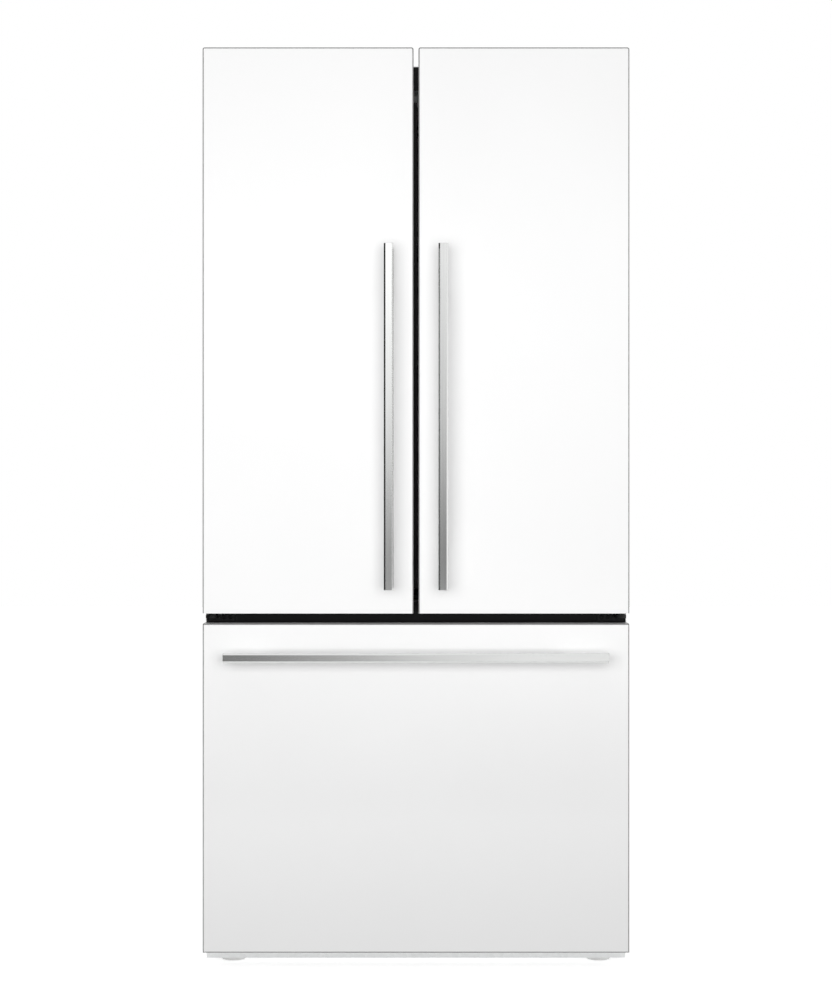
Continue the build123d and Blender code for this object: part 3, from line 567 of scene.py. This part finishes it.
def handle_sheets(node, place):
    """A bevelled bar on two posts that taper towards the door, sized from its CAD node. The bar's
    section is a rectangle whose two front corners are cut by the bevel."""
    steel = bpy.context.scene.fridge_steel
    low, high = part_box(node)
    upright = high.z - low.z > high.x - low.x
    start, end = (low.z, high.z) if upright else (low.x, high.x)
    across = (low.x, high.x) if upright else (low.z, high.z)
    bar_depth, overlap, cap_gap = 14 * MM, 0.3 * MM, 0.4 * MM
    post_half, post_root, post_tip = 6 * MM, 105 * MM, 79 * MM
    front, back = low.y, low.y + bar_depth
    cut = steel.bevel
    section = [
        (across[0] + cut, front),
        (across[1] - cut, front),
        (across[1], front + cut),
        (across[1], back),
        (across[0], back),
        (across[0], front + cut),
    ]
    sheets = [extruded(eased_loop(section, steel.ease), start, end, steel.ease, place)]
    middle = sum(across) / 2
    for tip, inward in ((start, 1), (end, -1)):
        outline = [
            (tip + inward * cap_gap, back - overlap),
            (tip + inward * post_root, back - overlap),
            (tip + inward * post_tip, high.y),
            (tip + inward * cap_gap, high.y),
        ]
        loop = eased_loop(outline, 0.3 * MM, 2)
        sheets.append(
            extruded(
                loop, middle - post_half, middle + post_half, 0.3 * MM,
                lambda w, s, deep: place(s, w, deep),
            )
        )
    return sheets


class FRIDGE_OT_handles(bpy.types.Operator):
    """Builds the bar handles with eased edges, in place of the plain CAD ones"""

    bl_idname = "fridge.handles"
    bl_label = "Handles"

    def execute(self, context):
        for side in ("left", "right"):
            sheets = handle_sheets(f"{side}_handle", lambda s, w, deep: (w, deep, s))
            add_piece(
                f"{side}_bar_handle", sheets, finish_of("handle_steel"), f"{side}_door",
                smooth=False, replaces=[f"{side}_handle"],
            )
        sheets = handle_sheets("drawer_handle", lambda s, w, deep: (s, deep, w))
        add_piece(
            "drawer_bar_handle", sheets, finish_of("handle_steel_across"), "freezer_drawer",
            smooth=False, replaces=["drawer_handle"],
        )
        return {"FINISHED"}


class FRIDGE_OT_seals(bpy.types.Operator):
    """Builds the folded magnetic seals of the doors and the drawer"""

    bl_idname = "fridge.seals"
    bl_label = "Seals"

    def execute(self, context):
        fold = context.scene.fridge_plastic.seal_fold
        for node, body in (
            ("left_door_gasket", "left_door"),
            ("right_door_gasket", "right_door"),
            ("drawer_gasket", "freezer_drawer"),
        ):
            low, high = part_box(node)
            depth = high.y - low.y
            middle = 9 * MM
            half = [
                (middle, 0),
                (middle - 1.5 * MM, 0.16 * depth),
                (middle - fold - 1.8 * MM, 0.22 * depth),
                (middle - 2.2 * MM, 0.36 * depth),
                (middle - 2.2 * MM - fold, 0.52 * depth),
                (middle - 1.0 * MM, 0.64 * depth),
                (middle - 0.6 * MM, 0.96 * depth),
                (middle - 1.6 * MM, depth),
            ]
            section = [(middle - u, v) for u, v in half]
            section += [(middle + u, v) for u, v in half[::-1]]
            loop = eased_loop(section, 0.5 * MM, 3)
            corners = [(low.x, low.z, 1, 1), (high.x, low.z, -1, 1)]
            corners += [(high.x, high.z, -1, -1), (low.x, high.z, 1, -1)]
            rows = [
                np.column_stack([x + a * loop[:, 0], low.y + loop[:, 1], z + b * loop[:, 0]])
                for x, z, a, b in corners
            ]
            sheet = surface(np.array(rows), wrap=(True, True))
            add_piece(
                f"{body}_seal", [sheet], finish_of("seal_rubber"), body,
                replaces=[node],
            )
        return {"FINISHED"}


def screw_head(centre, facing, turn, radius, height, rings=9, steps=32):
    """A pan head with a cross recess, as one closed sheet. Over a disc of radius r, the height is
    the head's times (1 - (r / R)^4)^0.5, less the recess: a cross whose arms fade out where
    |x| |y| grows and where r passes 0.62 R. facing is the axis that the head looks along, with
    its sign, and turn is the recess's angle."""
    r = np.append(np.linspace(0.02, 1, rings), 1.0)[:, None]
    angle = np.linspace(0, 2 * np.pi, steps, endpoint=False)[None, :]
    dome = height * np.sqrt(np.clip(1 - r**4, 0, 1)) * 0.75 + 0.25 * height
    arms = np.minimum(np.abs(np.cos(angle - turn)), np.abs(np.sin(angle - turn))) * r
    cross = np.clip((0.13 - arms) / 0.05, 0, 1) * np.clip((0.62 - r) / 0.08, 0, 1)
    deep = dome - 0.6 * height * cross
    deep[-1] = -0.2 * MM
    flat = [radius * r * np.cos(angle), radius * r * np.sin(angle)]
    axis, sign = facing
    parts = flat[:axis] + [sign * deep] + flat[axis:]
    parts = [np.broadcast_to(part, deep.shape) + c for part, c in zip(parts, centre)]
    return surface(np.stack(parts, axis=-1), wrap=(False, True), caps=True)


class FRIDGE_OT_screws(bpy.types.Operator):
    """Adds the cross-recessed screws of the rear cover, the centre hinges and the hinge covers"""

    bl_idname = "fridge.screws"
    bl_label = "Screws"

    def execute(self, context):
        hardware = context.scene.fridge_hardware
        head = (hardware.head_radius, hardware.head_height)
        low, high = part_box("compressor_cover")
        edge, columns = 8 * MM, 5
        spots = [
            ((x, high.y, z), (1, 1))
            for x in np.linspace(low.x + edge, high.x - edge, columns)
            for z in (low.z + edge, high.z - edge)
        ]
        low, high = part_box("hinge_covers")
        inset, from_back = 30 * MM, 14 * MM
        spots += [
            ((side * (high.x - inset), high.y - from_back, high.z), (2, 1)) for side in (-1, 1)
        ]
        sheets = [screw_head(at, facing, 0.9 * i, *head) for i, (at, facing) in enumerate(spots)]
        add_piece("cabinet_screws", sheets, finish_of("foot_steel"), "cabinet")
        low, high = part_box("centre_hinges")
        plate, rise = 3 * MM, 7 * MM
        spots = [
            ((side * (high.x - inset), high.y - plate, low.z + rise), (1, -1))
            for side in (-1, 1)
            for inset in (32 * MM, 44 * MM)
        ]
        sheets = [screw_head(at, facing, 0.7 * i, *head) for i, (at, facing) in enumerate(spots)]
        add_piece("hinge_screws", sheets, finish_of("black_steel"), "cabinet")
        return {"FINISHED"}


def louvre_hood(x_range, top, y, depth, drop=6 * MM, gauge=0.6 * MM):
    """A pressed hood over one slot. Its section starts flush over the slot and swings out along a
    quarter of a sine, and its depth falls towards both ends with 1 - u^8."""
    u = np.linspace(-1, 1, 17)[:, None]
    v = np.linspace(0, 1, 6)[None, :]
    reach = depth * (0.12 + 0.88 * (1 - u**8))
    outer = np.stack([y + reach * np.sin(0.5 * np.pi * v), top - drop * v + 0 * u], axis=-1)
    inner = np.stack([outer[..., 0] - gauge, outer[..., 1] - 0.3 * gauge], axis=-1)
    section = np.concatenate([outer, inner[:, ::-1]], axis=1)
    x = 0.5 * sum(x_range) + 0.5 * (x_range[1] - x_range[0]) * u
    x = np.broadcast_to(x, section.shape[:2])
    return surface(np.dstack([x, section]), wrap=(False, True), caps=True)


class FRIDGE_OT_louvres(bpy.types.Operator):
    """Presses a hood over each slot of the rear cover"""

    bl_idname = "fridge.louvres"
    bl_label = "Louvres"

    def execute(self, context):
        depth = context.scene.fridge_hardware.hood_depth
        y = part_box("compressor_cover")[1].y - 0.2 * MM
        half, above_slot = 81 * MM, 3.4 * MM
        bank_pitch, first_row, row_pitch, rows = 0.23, 0.11, 0.018, 9
        sheets = [
            louvre_hood((x - half, x + half), z + above_slot, y, depth)
            for x in (-bank_pitch, 0.0, bank_pitch)
            for z in first_row + row_pitch * np.arange(rows)
        ]
        add_piece("rear_louvres", sheets, finish_of("plated_steel"), "cabinet")
        return {"FINISHED"}


class FRIDGE_OT_rails(bpy.types.Operator):
    """Adds the rounded rim rail of each door bin"""

    bl_idname = "fridge.rails"
    bl_label = "Bin rails"

    def execute(self, context):
        radius = context.scene.fridge_hardware.rail_radius
        bins, bin_pitch, corner_radius = 3, 0.296, 0.02
        for side in ("left", "right"):
            low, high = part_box(f"{side}_door_bins")
            x = (low.x + radius, high.x - radius)
            y = (low.y + 2 * MM, high.y - radius)
            sheets = []
            for top in high.z - bin_pitch * np.arange(bins):
                corners = [(x[0], y[0]), (x[0], y[1]), (x[1], y[1]), (x[1], y[0])]
                path = smooth_path([(*corner, top - 0.3 * MM) for corner in corners], corner_radius)
                sheets.append(carried(path, circle(radius)))
            add_piece(
                f"{side}_bin_rails", sheets, finish_of("shelf_plastic"), f"{side}_door",
            )
        return {"FINISHED"}


# ---- studio ----
class FRIDGE_OT_studio(bpy.types.Operator):
    """Adds the camera, the pale floor and the soft lights"""

    bl_idname = "fridge.studio"
    bl_label = "Studio"

    def execute(self, context):
        studio = context.scene.fridge_studio
        add_camera(studio)
        add_floor()
        add_room(studio)
        add_softbox(studio)
        add_scrim(studio)
        add_gloss_cards()
        context.scene.view_settings.view_transform = "Standard"
        return {"FINISHED"}


def add_camera(studio):
    camera = bpy.data.objects.new("camera", bpy.data.cameras.new("camera"))
    bpy.context.scene.collection.objects.link(camera)
    camera.location = (0, Y_FRONT - studio.distance, studio.height)
    camera.rotation_euler = (np.pi / 2, 0, 0)
    camera.data.sensor_width = 36
    camera.data.lens = 36 * studio.distance / studio.view_height
    bpy.context.scene.camera = camera


def stage_sheet(name, points, material):
    """An open grid of points as one sheet of the stage."""
    vertices, faces = surface(points)
    mesh = bpy.data.meshes.new(name)
    mesh.from_pydata(vertices.tolist(), [], faces)
    mesh.materials.append(material)
    sheet = bpy.data.objects.new(name, mesh)
    bpy.context.scene.collection.objects.link(sheet)
    return sheet


def upright(x_range, z_range, y, columns=2, rows=2):
    """A flat upright grid that faces +Y: x and z run evenly over their ranges."""
    z, x = np.meshgrid(np.linspace(*z_range, rows), np.linspace(*x_range, columns), indexing="ij")
    return np.stack([x, np.full_like(x, y), z], axis=-1)


def add_floor():
    """A wide sheet that dips by a hair towards its edges: z falls with the square of distance."""
    span = np.linspace(-1, 1, 33)
    y, x = np.meshgrid(14 * span, 14 * span, indexing="ij")
    points = np.stack([x, y, -0.0002 * (x**2 + y**2)], axis=-1)
    look = Finish("floor_paint", (0.9, 0.9, 0.9), 0.8, **{"Emission Strength": 0.64})
    look.colour(look.noise(0.4, detail=3.0), (0.89, 0.89, 0.89), (0.91, 0.91, 0.91))
    look.shader.inputs["Emission Color"].default_value = (1, 1, 1, 1)
    floor = stage_sheet("floor", points, look.material)
    floor.visible_diffuse = False


def add_room(studio):
    """White to the camera, dim to gloss, and to everything else a soft light that grows with the
    direction's height and falls with the square of its x, so the sides stay darker than the
    front."""
    world = bpy.data.worlds.new("room")
    bpy.context.scene.world = world
    world.use_nodes = True
    tree = world.node_tree
    tree.nodes.clear()
    path = tree.nodes.new("ShaderNodeLightPath")
    where = tree.nodes.new("ShaderNodeTexCoord")
    apart = tree.nodes.new("ShaderNodeSeparateXYZ")
    tree.links.new(where.outputs["Generated"], apart.inputs[0])
    x, z = Value(tree, apart.outputs[0]), Value(tree, apart.outputs[2])
    dimmed = studio.fill_power * (1.0 - 0.6 * x * x + 0.6 * z)
    shown = tree.nodes.new("ShaderNodeBackground")
    shown.inputs["Color"].default_value = (1, 1, 1, 1)
    tree.links.new(dimmed.socket, shown.inputs["Strength"])
    for ray, strength in (("Is Glossy Ray", 0.35), ("Is Camera Ray", 1.0)):
        light = tree.nodes.new("ShaderNodeBackground")
        light.inputs["Color"].default_value = (1, 1, 1, 1)
        light.inputs["Strength"].default_value = strength
        mix = tree.nodes.new("ShaderNodeMixShader")
        tree.links.new(path.outputs[ray], mix.inputs[0])
        tree.links.new(shown.outputs[0], mix.inputs[1])
        tree.links.new(light.outputs[0], mix.inputs[2])
        shown = mix
    output = tree.nodes.new("ShaderNodeOutputWorld")
    tree.links.new(shown.outputs[0], output.inputs["Surface"])


def add_softbox(studio):
    """One large soft light far in front of the doors, seen by no camera and no gloss."""
    lamp = bpy.data.lights.new("front_softbox", "AREA")
    lamp.shape = "RECTANGLE"
    lamp.size, lamp.size_y = 3.8, 2.0
    lamp.energy = studio.key_power
    box = bpy.data.objects.new("front_softbox", lamp)
    bpy.context.scene.collection.objects.link(box)
    box.location = (-0.35, Y_FRONT - 3.2, 1.01)
    box.rotation_euler = (np.pi / 2, 0, 0)
    box.visible_camera = False
    box.visible_glossy = False


def add_scrim(studio):
    """A low see-through scrim between the softbox and the drawer, which darkens it downwards."""
    material = bpy.data.materials.new("scrim_gauze")
    material.use_nodes = True
    tree = material.node_tree
    tree.nodes.clear()
    gauze = tree.nodes.new("ShaderNodeBsdfTransparent")
    gauze.inputs[0].default_value = (*[1 - studio.scrim] * 3, 1)
    output = tree.nodes.new("ShaderNodeOutputMaterial")
    tree.links.new(gauze.outputs[0], output.inputs["Surface"])
    scrim = stage_sheet("scrim", upright((-1.6, 1.4), (-0.2, 0.50), Y_FRONT - 0.9), material)
    for ray in ("camera", "diffuse", "glossy", "transmission"):
        setattr(scrim, f"visible_{ray}", False)


def gloss_card(name, points, strength):
    """A glowing card that only gloss sees. strength holds one glow for each point."""
    material = bpy.data.materials.new(name)
    material.cycles.emission_sampling = "NONE"
    material.use_nodes = True
    tree = material.node_tree
    tree.nodes.clear()
    shade_of = tree.nodes.new("ShaderNodeAttribute")
    shade_of.attribute_name = "glow"
    glow = tree.nodes.new("ShaderNodeEmission")
    output = tree.nodes.new("ShaderNodeOutputMaterial")
    tree.links.new(shade_of.outputs["Fac"], glow.inputs["Strength"])
    tree.links.new(glow.outputs[0], output.inputs["Surface"])
    card = stage_sheet(name, points, material)
    glows = card.data.attributes.new("glow", "FLOAT", "POINT")
    glows.data.foreach_set("value", np.asarray(strength, np.float32).ravel())
    for ray in ("camera", "diffuse", "shadow", "transmission"):
        setattr(card, f"visible_{ray}", False)
    return card


def add_gloss_cards():
    """What the bare steel mirrors. The front card brightens upwards, is brighter just left of
    the middle than just right of it, and near z = 0.43 m brightens towards the right. The cards
    on the right and above are bright, and the one on the left is nearly black."""
    points = upright((-1.2, 1.2), (-0.4, 3.0), Y_FRONT - 2, 97, 137)
    x, z = points[..., 0], points[..., 2]
    heights = (0.62, 0.68, 0.79, 0.90, 1.00, 1.11, 1.33, 1.55, 3.0)
    rising = np.interp(z, heights, (0.36, 0.38, 0.48, 0.68, 0.87, 1.05, 1.28, 1.50, 1.55))
    rising = rising * (1 - 4.0 * x * np.exp(-((x / 0.16) ** 2)))
    widths = (-0.51, -0.34, -0.16, 0.01, 0.19, 0.30)
    sideways = np.interp(x, widths, (0.27, 0.48, 0.70, 1.03, 1.24, 1.33))
    band = np.interp(z, (0.28, 0.34, 0.53, 0.60), (0, 1, 1, 0))
    gloss_card("front_gloss", points, rising * (1 - band) + sideways * band)
    z, y = np.meshgrid(np.linspace(-0.2, 2.4, 3), np.linspace(-2.6, 0.4, 3), indexing="ij")
    for name, x, glow in (("right_gloss", 1.8, 1.3), ("left_gloss", -1.8, 0.02)):
        side = np.stack([np.full_like(y, x), y, z], axis=-1)
        gloss_card(name, side, np.full_like(y, glow))
    x, y = np.meshgrid(np.linspace(-1.7, 1.7, 3), np.linspace(-2.4, 0.4, 3), indexing="ij")
    overhead = np.stack([x, y, np.full_like(x, 3.1)], axis=-1)
    gloss_card("top_gloss", overhead, np.full_like(x, 1.2))


PIECES = (
    FRIDGE_OT_finishes,
    FRIDGE_OT_handles,
    FRIDGE_OT_seals,
    FRIDGE_OT_screws,
    FRIDGE_OT_louvres,
    FRIDGE_OT_rails,
    FRIDGE_OT_studio,
)


class FRIDGE_PT_sidebar(bpy.types.Panel):
    """Lists the pieces and the settings in the 3D view's sidebar"""

    bl_label = "Refrigerator"
    bl_idname = "FRIDGE_PT_sidebar"
    bl_space_type = "VIEW_3D"
    bl_region_type = "UI"
    bl_category = "Refrigerator"

    def draw(self, context):
        for name, group in SETTINGS.items():
            for field in group.__annotations__:
                self.layout.prop(getattr(context.scene, name), field)
        for piece in PIECES:
            self.layout.operator(piece.bl_idname)


def register():
    for item in (*SETTINGS.values(), *PIECES, FRIDGE_PT_sidebar):
        bpy.utils.register_class(item)
    for name, group in SETTINGS.items():
        setattr(bpy.types.Scene, name, PointerProperty(type=group))


def unregister():
    for name in SETTINGS:
        delattr(bpy.types.Scene, name)
    for item in (FRIDGE_PT_sidebar, *PIECES[::-1], *list(SETTINGS.values())[::-1]):
        bpy.utils.unregister_class(item)


def main():
    register()
    for piece in PIECES:
        area, name = piece.bl_idname.split(".")
        getattr(getattr(bpy.ops, area), name)()


if __name__ == "__main__":
    main()
